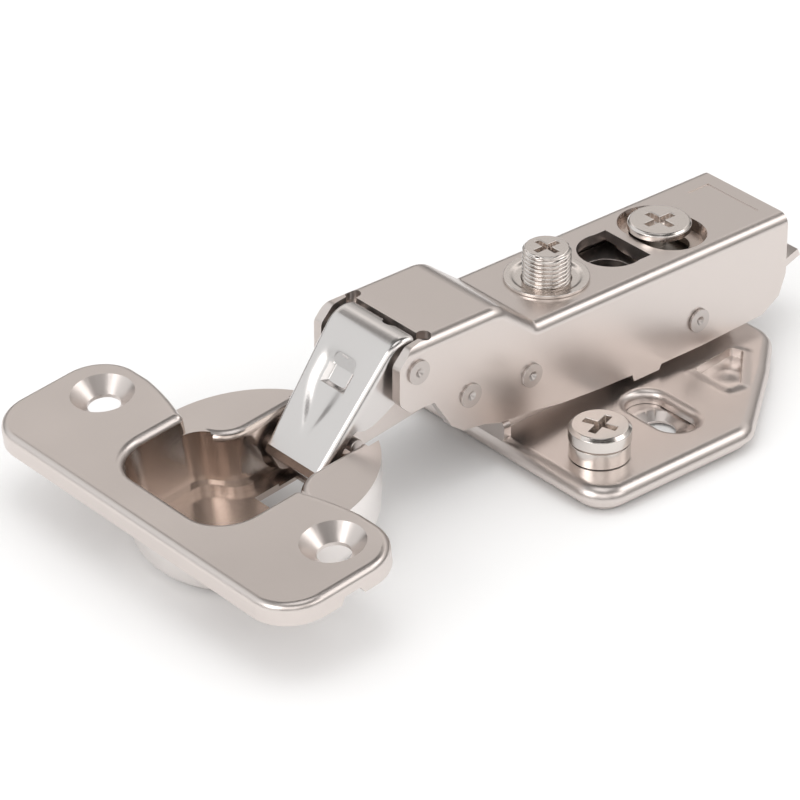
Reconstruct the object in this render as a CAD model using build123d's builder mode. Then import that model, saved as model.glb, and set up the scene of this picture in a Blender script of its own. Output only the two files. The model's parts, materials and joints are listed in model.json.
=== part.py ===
import math
import os

from build123d import *

# Frame: millimetres, origin in the middle of the mounting plate's base, X to the rear, Z up

# Sheet and running clearances
RUNNING = 0.05
ARM_SHEET = 1.5
LINK_SHEET = 1.15
CLIP_SHEET = 1.2
WING_SHEET = 1.9

# Cup, in its own frame: origin in the middle of the bore, on the flange's face
CUP_X = -59.3
CUP_Z = 14.0
CUP_TILT = 7.05
CUP_R = 17.3
CUP_FOOT_R = 16.7
CUP_DEPTH = 12.35
CUP_FLOOR = 1.0
CUP_CREST = 3.25
CUP_BAND_END = 5.5
CUP_FOOT_ROUND = 2.6
FLANGE_FRONT = -20.05
FLANGE_REAR = 1.0
FLANGE_WAIST = -1.0
WAIST_START = 13.0
WAIST_MID = 17.5
WAIST_MID_X = 0.25
WAIST_END = 22.0
FLANGE_ROUND = 1.1
FLANGE_LENGTH = 63.5
FLANGE_CORNER = 6.5
FLANGE_RIM = 3.1
FLANGE_SHEET = 1.2
FLANGE_BOSS = 2.4
CUP_SCREW_X = -5.5
CUP_SCREW_SPACING = 48.0
CUP_SCREW_R = 2.3
CUP_SCREW_HEAD_R = 4.4
CUP_SCREW_ANGLE = 96
THROAT_HALF = 7.2
POCKET_HALF = 12.0
POCKET_FRONT = -14.5
POCKET_TAPER = 6.0
LIP_ROUND = 1.3
LEDGE_DEPTH = 10.3
LEDGE_WIDTH = 1.3
OUTER_PIN_X = 9.5
OUTER_PIN_Z = -8.3
OUTER_PIN_R = 1.25
INNER_PIN_X = 13.341
INNER_PIN_Z = -4.551
INNER_PIN_R = 1.0

# Rivets of the arm
RIVET_R = 1.5
RIVET_HEAD_R = 1.75
RIVET_HEAD = 0.4
R1_X, R1_Z = -37.45, 20.83
R2_X, R2_Z = -28.3, 13.72
R3_X, R3_Z = -17.37, 12.57
R4_X, R4_Z = 13.81, 9.35

# Arm
ARM_HALF = 8.8
ARM_INNER = ARM_HALF - ARM_SHEET
ARM_TOP = 19.9
ARM_FRONT_TOP = 24.9
ARM_FRONT_INNER = 23.6
ARM_WEB_FRONT = -35.5
ARM_CREASE = -22.6
ARM_CREASE_ROUND = 4.5
ARM_RAMP = -16.2
ARM_REAR = 30.75
ARM_BEND = 1.7
RELIEF_R = 1.05
RELIEF_Y = 7.15
WINDOW_X = 5.1
WINDOW_R = 4.75
WINDOW_END = 8.35
BUSH_X = -6.8
BUSH_FLANGE_R = 5.95
BUSH_R = 4.6
OVERLAY_R = 3.4
OVERLAY_TOP = 24.8
OVERLAY_BOTTOM = 17.7
CAM_X = 14.3
CAM_HEAD_R = 4.5
CAM_HEAD_TOP = 21.4
CAM_HEAD_BOTTOM = 20.2
CAM_LOBE_R = 2.4
CAM_THROW = 2.0
CAM_DISC_R = 4.5
CAM_RECESS_X = 14.8
CAM_RECESS_HALF = 5.0
CAM_RECESS_REACH = 6.9
CAM_FLOOR = 18.4
CAM_FLOOR_SHEET = 1.0

# Outer link, seen from the side: along the line of its pins, and forwards from it
LINK_HALF_LOW = 5.2
LINK_HALF_HIGH = 6.75
LINK_EYE_R = 2.5
LINK_ROLL_R = 3.95
LINK_ROLL_END = 20.0
LINK_EAR_R = 2.4
LINK_EDGE_ROUND = 0.9
DIMPLE_AT = 12.85
DIMPLE_HEIGHT = 3.87
DIMPLE_LENGTH = 4.7
DIMPLE_WIDTH = 5.3
DIMPLE_DEPTH = 0.6

# Inner link
INNER_HALF = 4.2
INNER_SHEET = 1.2
INNER_EYE_R = 1.8
INNER_CAM_R = 3.6
INNER_TUBE_R = 2.6

# Clip-on adaptor, lever and their pins
CLIP_HALF = 7.0
CLIP_TOP = 16.6
CLIP_FRONT = -10.0
CLIP_REAR = 27.0
HOOK_X, HOOK_Z, HOOK_R = -12.8, 7.4, 1.1
LEVER_X, LEVER_Z, LEVER_R = 22.0, 12.0, 1.25
LEVER_HALF = 5.6

# Mounting plate
BASE_THICK = 1.4
WING_TOP = 3.36
WING_HALF = 27.5
WING_FRONT = -21.5
RISER_HALF = 5.6
PLATE_SCREW_Y = 16.0
PLATE_SCREW_R = 2.3
PLATE_DISH_R = 4.4
ECC_X, ECC_Y = -13.9, -18.9
ECC_HEAD_R = 4.32
ECC_LOBE_R = 2.15
ECC_THROW = 2.0
ECC_DISC_R = 4.3
TRAVEL = 2.0

os.makedirs("parts", exist_ok=True)


def cup_point(px, pz):
    tilt = math.radians(CUP_TILT)
    x = CUP_X + px * math.cos(tilt) - pz * math.sin(tilt)
    z = CUP_Z + px * math.sin(tilt) + pz * math.cos(tilt)
    return x, z


cup_plane = Plane(
    origin=(CUP_X, 0, CUP_Z),
    x_dir=(math.cos(math.radians(CUP_TILT)), 0, math.sin(math.radians(CUP_TILT))),
    z_dir=(-math.sin(math.radians(CUP_TILT)), 0, math.cos(math.radians(CUP_TILT))),
)
C1_X, C1_Z = cup_point(OUTER_PIN_X, OUTER_PIN_Z)
C2_X, C2_Z = cup_point(INNER_PIN_X, INNER_PIN_Z)
LINK_LENGTH = math.hypot(R1_X - C1_X, R1_Z - C1_Z)
link_along = ((R1_X - C1_X) / LINK_LENGTH, (R1_Z - C1_Z) / LINK_LENGTH)
# Sketch X runs along the link, sketch Y forwards from it
link_plane = Plane(
    origin=(C1_X, 0, C1_Z),
    x_dir=(link_along[0], 0, link_along[1]),
    z_dir=(0, -1, 0),
)

link_front = Vector(-link_along[1], 0, link_along[0])
dimple_plane = Plane(
    origin=Vector(C1_X, 0, C1_Z)
    + Vector(link_along[0], 0, link_along[1]) * DIMPLE_AT
    + link_front * DIMPLE_HEIGHT,
    x_dir=(link_along[0], 0, link_along[1]),
    z_dir=link_front,
)


def roll_end(radius):
    angle = math.radians(LINK_ROLL_END)
    return LINK_LENGTH + radius * math.cos(angle), radius * math.sin(angle)


def cross_pin(x, z, radius, half):
    with Locations((x, 0, z)):
        Cylinder(radius=radius, height=2 * half, rotation=(90, 0, 0))


# Cup, in its own frame: the room inside it, the barrel, and the flange
ledge_draw = LEDGE_DEPTH * math.tan(math.radians(POCKET_TAPER))
LEDGE_FRONT = POCKET_FRONT + ledge_draw + LEDGE_WIDTH
LEDGE_HALF = POCKET_HALF - ledge_draw - LEDGE_WIDTH
THROAT_FOOT = THROAT_HALF - ledge_draw
with BuildPart() as pocket_core:
    with BuildSketch(Plane.XY):
        with BuildLine():
            w1 = Line((POCKET_FRONT, 0), (POCKET_FRONT, 6.0))
            w2 = TangentArc(w1 @ 1, (POCKET_FRONT + 6.0, POCKET_HALF), tangent=(0, 1))
            w3 = Line(w2 @ 1, (-2.6, POCKET_HALF))
            w4 = TangentArc(w3 @ 1, (1.3, (POCKET_HALF + THROAT_HALF) / 2), tangent=(1, 0))
            w4b = TangentArc(w4 @ 1, (5.2, THROAT_HALF), tangent=w4 % 1)
            w5 = Line(w4b @ 1, (12.6, THROAT_HALF))
            w6 = TangentArc(w5 @ 1, (15.0, THROAT_HALF - 2.4), tangent=(1, 0))
            w7 = Line(w6 @ 1, (15.0, 0))
            mirror(about=Plane.XZ)
        make_face()
    extrude(amount=-LEDGE_DEPTH, taper=POCKET_TAPER)
    # The floor lies below a narrow ledge, which the throat doesn't have
    with BuildSketch(Plane.XY.offset(-LEDGE_DEPTH)):
        with BuildLine():
            f1 = Line((LEDGE_FRONT, 0), (LEDGE_FRONT, 5.2))
            f2 = TangentArc(f1 @ 1, (LEDGE_FRONT + 4.4, LEDGE_HALF), tangent=(0, 1))
            f3 = Line(f2 @ 1, (-3.0, LEDGE_HALF))
            f4 = TangentArc(f3 @ 1, (0.3, (LEDGE_HALF + THROAT_FOOT - LEDGE_WIDTH) / 2), tangent=(1, 0))
            f5 = TangentArc(f4 @ 1, (3.6, THROAT_FOOT - LEDGE_WIDTH), tangent=f4 % 1)
            f6 = Polyline(f5 @ 1, (3.6, THROAT_FOOT), (13.9, THROAT_FOOT), (13.9, 0))
            mirror(about=Plane.XZ)
        make_face()
    extrude(amount=-(CUP_DEPTH - CUP_FLOOR - LEDGE_DEPTH))

with BuildPart() as cup_barrel:
    with BuildSketch(Plane.XZ):
        with BuildLine():
            l1 = Line((0, -CUP_CREST), (0, -CUP_DEPTH))
            l2 = Line(l1 @ 1, (CUP_FOOT_R - CUP_FOOT_ROUND, -CUP_DEPTH))
            l3 = RadiusArc(l2 @ 1, (CUP_FOOT_R, CUP_FOOT_ROUND - CUP_DEPTH), -CUP_FOOT_ROUND)
            l4 = Line(l3 @ 1, (CUP_R, -CUP_BAND_END))
            l5 = Line(l4 @ 1, (CUP_R, -CUP_CREST))
            Line(l5 @ 1, l1 @ 0)
        make_face()
    revolve(axis=Axis.Z)
    add(pocket_core.part, mode=Mode.SUBTRACT)
    # Rounded lips of the throat
    fillet(cup_barrel.faces().sort_by(Axis.Z)[-1].inner_wires()[0].edges(), LIP_ROUND)
    # Way out for the links at the arm's side
    with Locations((CUP_R, 0, -CUP_CREST)):
        Box(2 * (CUP_R - 13.4), 2 * (THROAT_HALF + 1.1), 2 * 5.0, mode=Mode.SUBTRACT)
    # Recesses around the outer pin, and its holes
    with Locations((OUTER_PIN_X, 0, OUTER_PIN_Z)):
        Cylinder(radius=3.05, height=2 * 6.9, rotation=(90, 0, 0), mode=Mode.SUBTRACT)
        Cylinder(radius=OUTER_PIN_R, height=2 * 8.4, rotation=(90, 0, 0), mode=Mode.SUBTRACT)
    # Window in the floor, and the step around it that the closed link dips into
    with Locations((5.9, 0, -CUP_DEPTH)):
        Box(7.3, 6.4, 3 * CUP_FLOOR, mode=Mode.SUBTRACT)
    with Locations((8.5, 0, CUP_FLOOR - CUP_DEPTH)):
        Box(4.2, 2 * 5.95, 0.9, mode=Mode.SUBTRACT)

flange_length_x = FLANGE_REAR - FLANGE_FRONT
flange_centre_x = (FLANGE_REAR + FLANGE_FRONT) / 2
FLANGE_BLOCK = CUP_CREST + LIP_ROUND + 0.3
with BuildPart() as cup_flange:
    with BuildSketch(Plane.XY.offset(-FLANGE_RIM)):
        with Locations((flange_centre_x, 0)):
            RectangleRounded(flange_length_x, FLANGE_LENGTH, FLANGE_CORNER)
        # The rear edge draws in towards the throat
        with BuildLine():
            ThreePointArc((FLANGE_REAR, WAIST_END), (WAIST_MID_X, WAIST_MID), (FLANGE_WAIST, WAIST_START))
            Line((FLANGE_WAIST, WAIST_START), (FLANGE_WAIST, -WAIST_START))
            ThreePointArc((FLANGE_WAIST, -WAIST_START), (WAIST_MID_X, -WAIST_MID), (FLANGE_REAR, -WAIST_END))
            Polyline(
                (FLANGE_REAR, -WAIST_END),
                (FLANGE_REAR + 1, -WAIST_END),
                (FLANGE_REAR + 1, WAIST_END),
                (FLANGE_REAR, WAIST_END),
            )
        make_face(mode=Mode.SUBTRACT)
    extrude(amount=FLANGE_RIM)
    # Half of the barrel's rim stands up under the flange
    with BuildSketch(Plane.XY.offset(-FLANGE_BLOCK)):
        Circle(CUP_R)
        with Locations((FLANGE_REAR - CUP_R, 0)):
            Rectangle(2 * CUP_R, 2 * CUP_R, mode=Mode.INTERSECT)
    extrude(amount=FLANGE_BLOCK - FLANGE_RIM + 0.2)
    add(pocket_core.part, mode=Mode.SUBTRACT)
    corners = cup_flange.edges().filter_by(
        lambda e: abs(e.center().X - FLANGE_WAIST) < 0.01
        and abs(e.center().Y) < WAIST_START - 0.1
        and abs(e.tangent_at(0.5).Z) > 0.8
    )
    fillet(corners, 1.0)
    fillet(cup_flange.faces().sort_by(Axis.Z)[-1].outer_wire().edges(), FLANGE_ROUND)
    # The flange is a tray, open below outside the cup
    with BuildSketch(Plane.XY.offset(-FLANGE_RIM)):
        with Locations((flange_centre_x, 0)):
            RectangleRounded(
                flange_length_x - 2 * FLANGE_SHEET,
                FLANGE_LENGTH - 2 * FLANGE_SHEET,
                FLANGE_CORNER - FLANGE_SHEET,
            )
        Circle(CUP_R, mode=Mode.SUBTRACT)
        with Locations((CUP_SCREW_X, CUP_SCREW_SPACING / 2), (CUP_SCREW_X, -CUP_SCREW_SPACING / 2)):
            Circle(CUP_SCREW_HEAD_R + FLANGE_SHEET, mode=Mode.SUBTRACT)
    extrude(amount=FLANGE_RIM - FLANGE_SHEET, mode=Mode.SUBTRACT)
    with Locations((CUP_SCREW_X, CUP_SCREW_SPACING / 2, 0), (CUP_SCREW_X, -CUP_SCREW_SPACING / 2, 0)):
        CounterSinkHole(CUP_SCREW_R, CUP_SCREW_HEAD_R, depth=FLANGE_RIM, counter_sink_angle=CUP_SCREW_ANGLE)
    with Locations(
        (CUP_SCREW_X, CUP_SCREW_SPACING / 2, -FLANGE_RIM),
        (CUP_SCREW_X, -CUP_SCREW_SPACING / 2, -FLANGE_RIM),
    ):
        Cylinder(radius=CUP_SCREW_HEAD_R + 2, height=2 * (FLANGE_RIM - FLANGE_BOSS), mode=Mode.SUBTRACT)
    # Notch under the near rim
    with BuildSketch(Plane.XZ.offset(FLANGE_LENGTH / 2 - 2)):
        Polygon(
            (-11.0, -FLANGE_RIM - 0.1),
            (-10.3, -FLANGE_RIM + 1.1),
            (-7.7, -FLANGE_RIM + 1.1),
            (-7.0, -FLANGE_RIM - 0.1),
            align=None,
        )
    extrude(amount=4, mode=Mode.SUBTRACT)

with BuildPart() as hinge_cup:
    with Locations(cup_plane.location):
        add(cup_barrel.part)
        add(cup_flange.part)

with BuildPart() as cup_pin_outer:
    cross_pin(C1_X, C1_Z, OUTER_PIN_R, 8.4)

with BuildPart() as cup_pin_inner:
    cross_pin(C2_X, C2_Z, INNER_PIN_R, 5.9)

# Outer link
with BuildPart() as outer_link_hollow:
    with BuildSketch(link_plane):
        with BuildLine():
            h1 = Line((-8, 3.65 - LINK_SHEET), (16.9, LINK_ROLL_R - LINK_SHEET - 0.02))
            h2 = Line(h1 @ 1, (LINK_LENGTH, LINK_ROLL_R - LINK_SHEET))
            h3 = RadiusArc(h2 @ 1, (LINK_LENGTH + LINK_ROLL_R - LINK_SHEET, 0), LINK_ROLL_R - LINK_SHEET)
            h4 = Line(h3 @ 1, (LINK_LENGTH + 6, -0.8))
            h5 = Polyline(h4 @ 1, (LINK_LENGTH + 6, -8), (-8, -8), h1 @ 0)
        make_face()
    extrude(amount=LINK_HALF_HIGH, both=True)
    with BuildSketch(Plane(link_plane.origin, x_dir=link_plane.x_dir, z_dir=link_plane.y_dir)):
        Polygon(
            (-8, LINK_HALF_LOW - LINK_SHEET),
            (-8, -LINK_HALF_LOW + LINK_SHEET),
            (LINK_LENGTH + 6, -LINK_HALF_HIGH + LINK_SHEET),
            (LINK_LENGTH + 6, LINK_HALF_HIGH - LINK_SHEET),
            align=None,
        )
    extrude(amount=12, both=True, mode=Mode.INTERSECT)

with BuildPart() as outer_link:
    with BuildSketch(link_plane):
        with BuildLine():
            k0 = Line((-1.3, 2.9), (-0.2, 3.63))
            k1 = Line(k0 @ 1, (16.9, LINK_ROLL_R - 0.02))
            k2 = Line(k1 @ 1, (LINK_LENGTH, LINK_ROLL_R))
            k3 = RadiusArc(k2 @ 1, roll_end(LINK_ROLL_R), LINK_ROLL_R)
            k4 = Line(k3 @ 1, roll_end(LINK_EAR_R))
            k4b = RadiusArc(k4 @ 1, (LINK_LENGTH, -LINK_EAR_R), LINK_EAR_R)
            k5 = Spline(k4b @ 1, (14.6, -2.4), (12.3, -1.85), (9.7, -0.95), (8.3, -0.2), (7.2, 1.6))
            k6 = Line(k5 @ 1, (6.0, 2.1))
            k7 = Line(k6 @ 1, (3.6, 1.9))
            k8 = Line(k7 @ 1, (LINK_EYE_R, 0))
            k9 = RadiusArc(k8 @ 1, (0, -LINK_EYE_R), LINK_EYE_R)
            k10 = RadiusArc(k9 @ 1, (-LINK_EYE_R, 0), LINK_EYE_R)
            Line(k10 @ 1, k0 @ 0)
        make_face()
    extrude(amount=LINK_HALF_HIGH + 1, both=True)
    with BuildSketch(Plane(link_plane.origin, x_dir=link_plane.x_dir, z_dir=link_plane.y_dir)):
        Polygon(
            (-8, LINK_HALF_LOW),
            (-8, -LINK_HALF_LOW),
            (LINK_LENGTH + 6, -LINK_HALF_HIGH),
            (LINK_LENGTH + 6, LINK_HALF_HIGH),
            align=None,
        )
    extrude(amount=12, both=True, mode=Mode.INTERSECT)
    face_edges = outer_link.edges().filter_by(
        lambda e: abs(e.center().Y) > 5 and e.length > 15 and e.center().Z > (C1_Z + R1_Z) / 2
    )
    fillet(face_edges, LINK_EDGE_ROUND)
    add(outer_link_hollow.part, mode=Mode.SUBTRACT)
    # Stamped dimple in the face
    with BuildSketch(dimple_plane):
        Rectangle(DIMPLE_LENGTH, DIMPLE_WIDTH)
    extrude(amount=-DIMPLE_DEPTH, taper=50, mode=Mode.SUBTRACT)
    cross_cut = Cylinder(radius=OUTER_PIN_R + RUNNING, height=16, rotation=(90, 0, 0), mode=Mode.PRIVATE)
    add(Pos(C1_X, 0, C1_Z) * cross_cut, mode=Mode.SUBTRACT)
    rivet_cut = Cylinder(radius=RIVET_R + RUNNING, height=16, rotation=(90, 0, 0), mode=Mode.PRIVATE)
    add(Pos(R1_X, 0, R1_Z) * rivet_cut, mode=Mode.SUBTRACT)
    # Small notch in the end of the rolled web
    with Locations((ARM_WEB_FRONT - 0.25, -1.4, ARM_FRONT_TOP)):
        Cylinder(radius=1.2, height=4, mode=Mode.SUBTRACT)

# Inner link: channel with its web above, and a tube that turns on its rivet
inner_length = math.hypot(R2_X - C2_X, R2_Z - C2_Z)
inner_plane = Plane(
    origin=(C2_X, 0, C2_Z),
    x_dir=((R2_X - C2_X) / inner_length, 0, (R2_Z - C2_Z) / inner_length),
    z_dir=(0, -1, 0),
)
with BuildPart() as inner_link:
    with BuildSketch(inner_plane):
        Circle(INNER_EYE_R)
        with Locations((inner_length, 0)):
            Circle(INNER_CAM_R)
        with Locations((inner_length / 2, -0.1)):
            Rectangle(inner_length, 2 * INNER_EYE_R - 0.2)
    extrude(amount=INNER_HALF, both=True)
    with BuildSketch(inner_plane):
        with Locations((inner_length / 2 - 4, INNER_EYE_R - INNER_SHEET - 5)):
            Rectangle(inner_length + 2.4, 10)
    extrude(amount=INNER_HALF - INNER_SHEET, both=True, mode=Mode.SUBTRACT)
    cross_pin(R2_X, R2_Z, INNER_TUBE_R, ARM_INNER - 0.1)
    with Locations((R2_X, 0, R2_Z)):
        Cylinder(radius=RIVET_R + RUNNING, height=20, rotation=(90, 0, 0), mode=Mode.SUBTRACT)
    with Locations((C2_X, 0, C2_Z)):
        Cylinder(radius=INNER_PIN_R, height=20, rotation=(90, 0, 0), mode=Mode.SUBTRACT)

# Arm
with BuildPart() as arm_hollow:
    with BuildSketch(Plane.XZ):
        Polygon(
            (-50, 0),
            (ARM_REAR + 5, 0),
            (ARM_REAR + 5, ARM_TOP - ARM_SHEET),
            (ARM_RAMP + 0.1, ARM_TOP - ARM_SHEET),
            (ARM_CREASE - 1.2, ARM_FRONT_INNER),
            (ARM_WEB_FRONT, ARM_FRONT_INNER),
            (ARM_WEB_FRONT, ARM_FRONT_TOP + 1),
            (-50, ARM_FRONT_TOP + 1),
            align=None,
        )
    extrude(amount=ARM_INNER, both=True)

with BuildPart() as arm_body:
    with BuildSketch(Plane.XZ) as arm_outline:
        with BuildLine():
            Polyline(
                (-35.0, ARM_FRONT_TOP),
                (ARM_CREASE, ARM_FRONT_TOP),
                (ARM_RAMP, ARM_TOP),
                (ARM_REAR, ARM_TOP),
                (ARM_REAR, 10.6),
                (29.6, 7.4),
                (26.4, 5.4),
                (14.4, 4.9),
                (7.0, 4.9),
                (6.6, 4.1),
                (1.9, 4.1),
                (1.5, 5.2),
                (-4.5, 5.4),
                (-11.9, 5.9),
                (-17.4, 6.8),
                (-22.9, 7.2),
                (-25.6, 8.1),
                (-29.4, 8.6),
                (-31.4, 10.0),
                (-34.6, 15.0),
                (-38.8, 15.0),
                (-40.6, 16.8),
                (-40.6, 22.2),
                (-38.5, 24.4),
                (-35.0, ARM_FRONT_TOP),
            )
        make_face()
        fillet(arm_outline.vertices().filter_by(lambda v: v.X < -38 and v.Y > 16), 1.4)
        crease_points = arm_outline.vertices().filter_by(lambda v: abs(v.X - ARM_CREASE) < 0.01)
        fillet(crease_points, ARM_CREASE_ROUND)
        fillet(arm_outline.vertices().filter_by(lambda v: abs(v.X - ARM_RAMP) < 0.01 and v.Y > 15), 1.0)
    extrude(amount=ARM_HALF, both=True)
    side_top = arm_body.faces().filter_by(lambda f: abs(f.normal_at().Y) > 0.99).edges()
    long_edges = side_top.filter_by(
        lambda e: e.center().Z > ARM_TOP - 0.1 and abs(abs(e.center().Y) - ARM_HALF) < 0.01
        and e.center().X > ARM_WEB_FRONT + 0.6
    )
    fillet(long_edges, ARM_BEND - 0.1)
    add(arm_hollow.part, mode=Mode.SUBTRACT)
    # Relief notches beside the front of the raised top
    for side in (1, -1):
        with Locations((ARM_WEB_FRONT + 0.35, side * RELIEF_Y, ARM_FRONT_TOP)):
            Cylinder(radius=RELIEF_R, height=4, mode=Mode.SUBTRACT)
        with Locations((ARM_WEB_FRONT - 0.65, side * (RELIEF_Y - 0.5), ARM_FRONT_TOP)):
            Box(2, 1.1, 4, mode=Mode.SUBTRACT)
    # Window, and the recess of the cam screw with the slot for its lobe
    with BuildSketch(Plane.XY.offset(ARM_TOP - 3)):
        with Locations((WINDOW_X, 0)):
            Circle(WINDOW_R)
        with Locations(((WINDOW_X + WINDOW_END) / 2, 0)):
            Rectangle(WINDOW_END - WINDOW_X, 2 * WINDOW_R - 0.3)
        with Locations((WINDOW_END + WINDOW_R, 0)):
            Rectangle(2 * WINDOW_R, 4 * WINDOW_R, mode=Mode.SUBTRACT)
    extrude(amount=4, mode=Mode.SUBTRACT)
    with BuildSketch(Plane.XY.offset(CAM_FLOOR - CAM_FLOOR_SHEET)):
        with Locations((CAM_RECESS_X, 0)):
            SlotOverall(2 * (CAM_RECESS_REACH + 0.35), 2 * (CAM_RECESS_HALF + 0.9), rotation=90)
    extrude(amount=ARM_TOP - CAM_FLOOR + CAM_FLOOR_SHEET - 0.2)
    with BuildSketch(Plane.XY.offset(CAM_FLOOR)):
        with Locations((CAM_RECESS_X, 0)):
            SlotOverall(2 * (CAM_RECESS_REACH - 0.5), 2 * (CAM_RECESS_HALF - 0.5), rotation=90)
    extrude(amount=3, taper=-18, mode=Mode.SUBTRACT)
    with BuildSketch(Plane.XY.offset(CAM_FLOOR - 2)):
        with Locations((CAM_X, 0)):
            SlotOverall(2 * (CAM_LOBE_R + CAM_THROW + 0.5), 2 * (CAM_LOBE_R + 0.45), rotation=90)
    extrude(amount=3, mode=Mode.SUBTRACT)
    # Seat of the threaded ring
    with Locations((BUSH_X, 0, ARM_TOP)):
        Cylinder(radius=BUSH_R, height=4, mode=Mode.SUBTRACT)
    # Shallow pressing at the rear
    with Locations((ARM_REAR - 4.2, 0, ARM_TOP)):
        Box(4.0, 10.2, 0.3, mode=Mode.SUBTRACT)
    # Rivet holes
    for x, z, r in (
        (R1_X, R1_Z, RIVET_R),
        (R2_X, R2_Z, RIVET_R),
        (R3_X, R3_Z, RIVET_R),
        (R4_X, R4_Z, RIVET_R + RUNNING),
    ):
        with Locations((x, 0, z)):
            Cylinder(radius=r, height=30, rotation=(90, 0, 0), mode=Mode.SUBTRACT)


def rivet(x, z, gap):
    cross_pin(x, z, RIVET_R, ARM_HALF + gap + 0.1)
    for side in (1, -1):
        with Locations((x, side * (ARM_HALF + gap + RIVET_HEAD / 2), z)):
            Cylinder(radius=RIVET_HEAD_R, height=RIVET_HEAD, rotation=(90, 0, 0))
        with Locations((x, side * (ARM_HALF + gap + RIVET_HEAD), z)):
            Cone(
                bottom_radius=0.05,
                top_radius=1.3,
                height=0.8,
                rotation=(-90 * side, 0, 0),
                mode=Mode.SUBTRACT,
            )


with BuildPart() as rivet_outer_link:
    rivet(R1_X, R1_Z, 0)

with BuildPart() as rivet_inner_link:
    rivet(R2_X, R2_Z, 0)

with BuildPart() as rivet_spring:
    rivet(R3_X, R3_Z, 0)

with BuildPart() as rear_axle:
    rivet(R4_X, R4_Z, RUNNING)

# Closing spring: two coils on the third rivet, joined by a bridge over the inner link's cam
SPRING_WIRE = 0.6
SPRING_R = 2.4
BRIDGE_Z = R2_Z + INNER_CAM_R + SPRING_WIRE + 0.05
with BuildPart() as closing_spring:
    for side in (1, -1):
        with Locations((R3_X, side * 5.85, R3_Z)):
            Cylinder(radius=SPRING_R + SPRING_WIRE, height=2.4, rotation=(90, 0, 0))
            Cylinder(radius=SPRING_R - SPRING_WIRE, height=2.4, rotation=(90, 0, 0), mode=Mode.SUBTRACT)
        with BuildSketch(Plane.XZ.offset(-side * 5.3)):
            Polygon(
                (R3_X, R3_Z + SPRING_R - SPRING_WIRE),
                (R3_X, R3_Z + SPRING_R + SPRING_WIRE),
                (R2_X, BRIDGE_Z + SPRING_WIRE),
                (R2_X - 0.8, BRIDGE_Z + SPRING_WIRE),
                (R2_X - 0.8, BRIDGE_Z - SPRING_WIRE),
                (R2_X, BRIDGE_Z - SPRING_WIRE),
                align=None,
            )
        extrude(amount=SPRING_WIRE, both=True)
    with Locations((R2_X - 0.2, 0, BRIDGE_Z)):
        Cylinder(radius=SPRING_WIRE, height=2 * 5.3, rotation=(90, 0, 0))

# Threaded ring and the overlay screw
with BuildPart() as overlay_bush:
    with Locations((BUSH_X, 0, ARM_TOP + 0.25)):
        Cylinder(radius=BUSH_FLANGE_R, height=0.5)
    with Locations((BUSH_X, 0, (ARM_TOP + OVERLAY_BOTTOM) / 2 + 0.1)):
        Cylinder(radius=BUSH_R, height=ARM_TOP - OVERLAY_BOTTOM)
    # Dished face of the ring
    with Locations((BUSH_X, 0, ARM_TOP + 0.4)):
        Cone(bottom_radius=BUSH_R - 0.3, top_radius=BUSH_FLANGE_R - 0.3, height=0.6, mode=Mode.SUBTRACT)
    with Locations((BUSH_X, 0, ARM_TOP)):
        Cylinder(radius=OVERLAY_R + RUNNING, height=12, mode=Mode.SUBTRACT)

with BuildPart() as overlay_screw:
    with Locations((BUSH_X, 0, (OVERLAY_TOP + OVERLAY_BOTTOM) / 2)):
        Cylinder(radius=OVERLAY_R, height=OVERLAY_TOP - OVERLAY_BOTTOM)
    chamfer(overlay_screw.faces().sort_by(Axis.Z)[-1].edges(), 0.4)
    with BuildSketch(Plane.XY.offset(OVERLAY_TOP)):
        with Locations((BUSH_X, 0)):
            Rectangle(4.2, 0.9)
            Rectangle(0.9, 4.2)
    extrude(amount=-2.0, taper=8, mode=Mode.SUBTRACT)

# Cam screw of the depth adjustment
with BuildPart() as depth_cam_screw:
    with Locations((CAM_X, 0, (CAM_HEAD_TOP + CAM_HEAD_BOTTOM) / 2)):
        Cylinder(radius=CAM_HEAD_R, height=CAM_HEAD_TOP - CAM_HEAD_BOTTOM)
    chamfer(depth_cam_screw.faces().sort_by(Axis.Z)[-1].edges(), 0.35)
    with Locations((CAM_X, CAM_THROW, (CAM_HEAD_BOTTOM + CLIP_TOP) / 2 + 0.2)):
        Cylinder(radius=CAM_LOBE_R, height=CAM_HEAD_BOTTOM - CLIP_TOP)
    # Disc under the arm's recess that carries the lobe, then the shank in the adaptor
    with Locations((CAM_X, 0, CLIP_TOP + 0.25)):
        Cylinder(radius=CAM_DISC_R, height=0.4)
    with Locations((CAM_X, 0, CLIP_TOP - 0.75)):
        Cylinder(radius=1.8, height=1.9)
    with Locations((CAM_X, 0, CLIP_TOP - 1.65)):
        Cylinder(radius=2.6, height=0.8)
    with BuildSketch(Plane.XY.offset(CAM_HEAD_TOP)):
        with Locations((CAM_X, 0)):
            Rectangle(5.0, 1.1)
            Rectangle(1.1, 5.0)
    extrude(amount=-1.1, taper=8, mode=Mode.SUBTRACT)

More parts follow.
